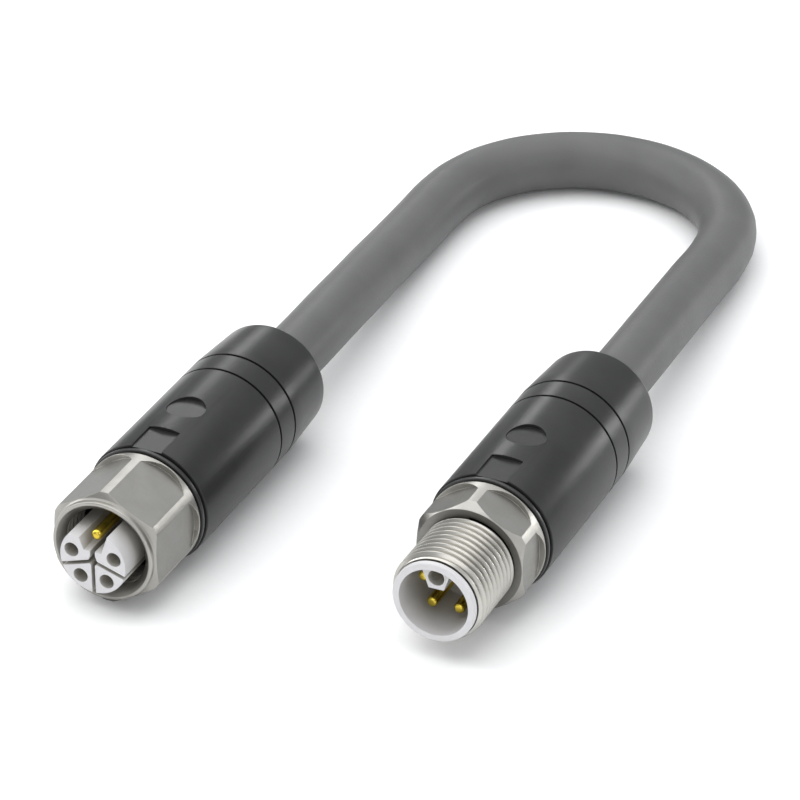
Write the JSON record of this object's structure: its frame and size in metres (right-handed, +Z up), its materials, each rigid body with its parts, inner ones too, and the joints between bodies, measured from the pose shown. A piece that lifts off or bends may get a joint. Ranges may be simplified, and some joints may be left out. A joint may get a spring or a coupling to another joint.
{
  "type": "m12 connector cordset",
  "caption": "Short round cordset: a socket with a milled coupling nut and a pin plug with a threaded hexagon sleeve, moulded on one cable bent into a U.",
  "frame": {"origin": "on the surface that the pair lies on, midway between the two connectors and midway along them", "axes": "+Y along both connector axes from their faces towards the cable, +X from the socket to the plug, +Z up"},
  "size_m": [0.0576, 0.1348, 0.0164],
  "materials": {
    "moulded_body": "black moulded polyurethane, soft sheen",
    "friction_ring": "black moulded ring",
    "nickel_plate": "nickel-plated brass, turned and milled, satin",
    "contact_carrier": "light grey glass-filled moulding",
    "contact_gold": "gold-plated turned contact",
    "seal": "black fluorocarbon rubber",
    "cable_jacket": "grey extruded polyurethane jacket, matte",
    "inner_mould": "plain inner moulding",
    "wire_insulation": "black wire insulation",
    "earth_insulation": "green and yellow earth wire insulation"
  },
  "bodies": {
    "cordset": {"socket_body": "moulded_body", "socket_friction_ring": "friction_ring", "socket_contact_carrier": "contact_carrier", "socket_sealing_ring": "seal", "socket_contact_1": "contact_gold", "socket_contact_2": "contact_gold", "socket_contact_3": "contact_gold", "socket_contact_4": "contact_gold", "socket_earth_pin": "contact_gold", "socket_inner_mould": "inner_mould", "socket_wire_1": "wire_insulation", "socket_wire_2": "wire_insulation", "socket_wire_3": "wire_insulation", "socket_wire_4": "wire_insulation", "socket_earth_wire": "earth_insulation", "plug_body": "moulded_body", "plug_friction_ring": "friction_ring", "plug_contact_carrier": "contact_carrier", "plug_pin_1": "contact_gold", "plug_pin_2": "contact_gold", "plug_pin_3": "contact_gold", "plug_pin_4": "contact_gold", "plug_earth_contact": "contact_gold", "plug_inner_mould": "inner_mould", "plug_wire_1": "wire_insulation", "plug_wire_2": "wire_insulation", "plug_wire_3": "wire_insulation", "plug_wire_4": "wire_insulation", "plug_earth_wire": "earth_insulation", "cable": "cable_jacket"},
    "coupling_nut": {"socket_coupling_nut": "nickel_plate"},
    "coupling_sleeve": {"plug_coupling_sleeve": "nickel_plate"}
  },
  "joints": [
    {"name": "socket_nut_spin", "type": "hinge", "parent": "cordset", "child": "coupling_nut", "pos_m": [-0.0206, -0.0167, 0.0082], "axis": [0, 1, 0], "continuous": true},
    {"name": "plug_sleeve_spin", "type": "hinge", "parent": "cordset", "child": "coupling_sleeve", "pos_m": [0.0206, -0.0055, 0.0082], "axis": [0, 1, 0], "continuous": true}
  ]
}
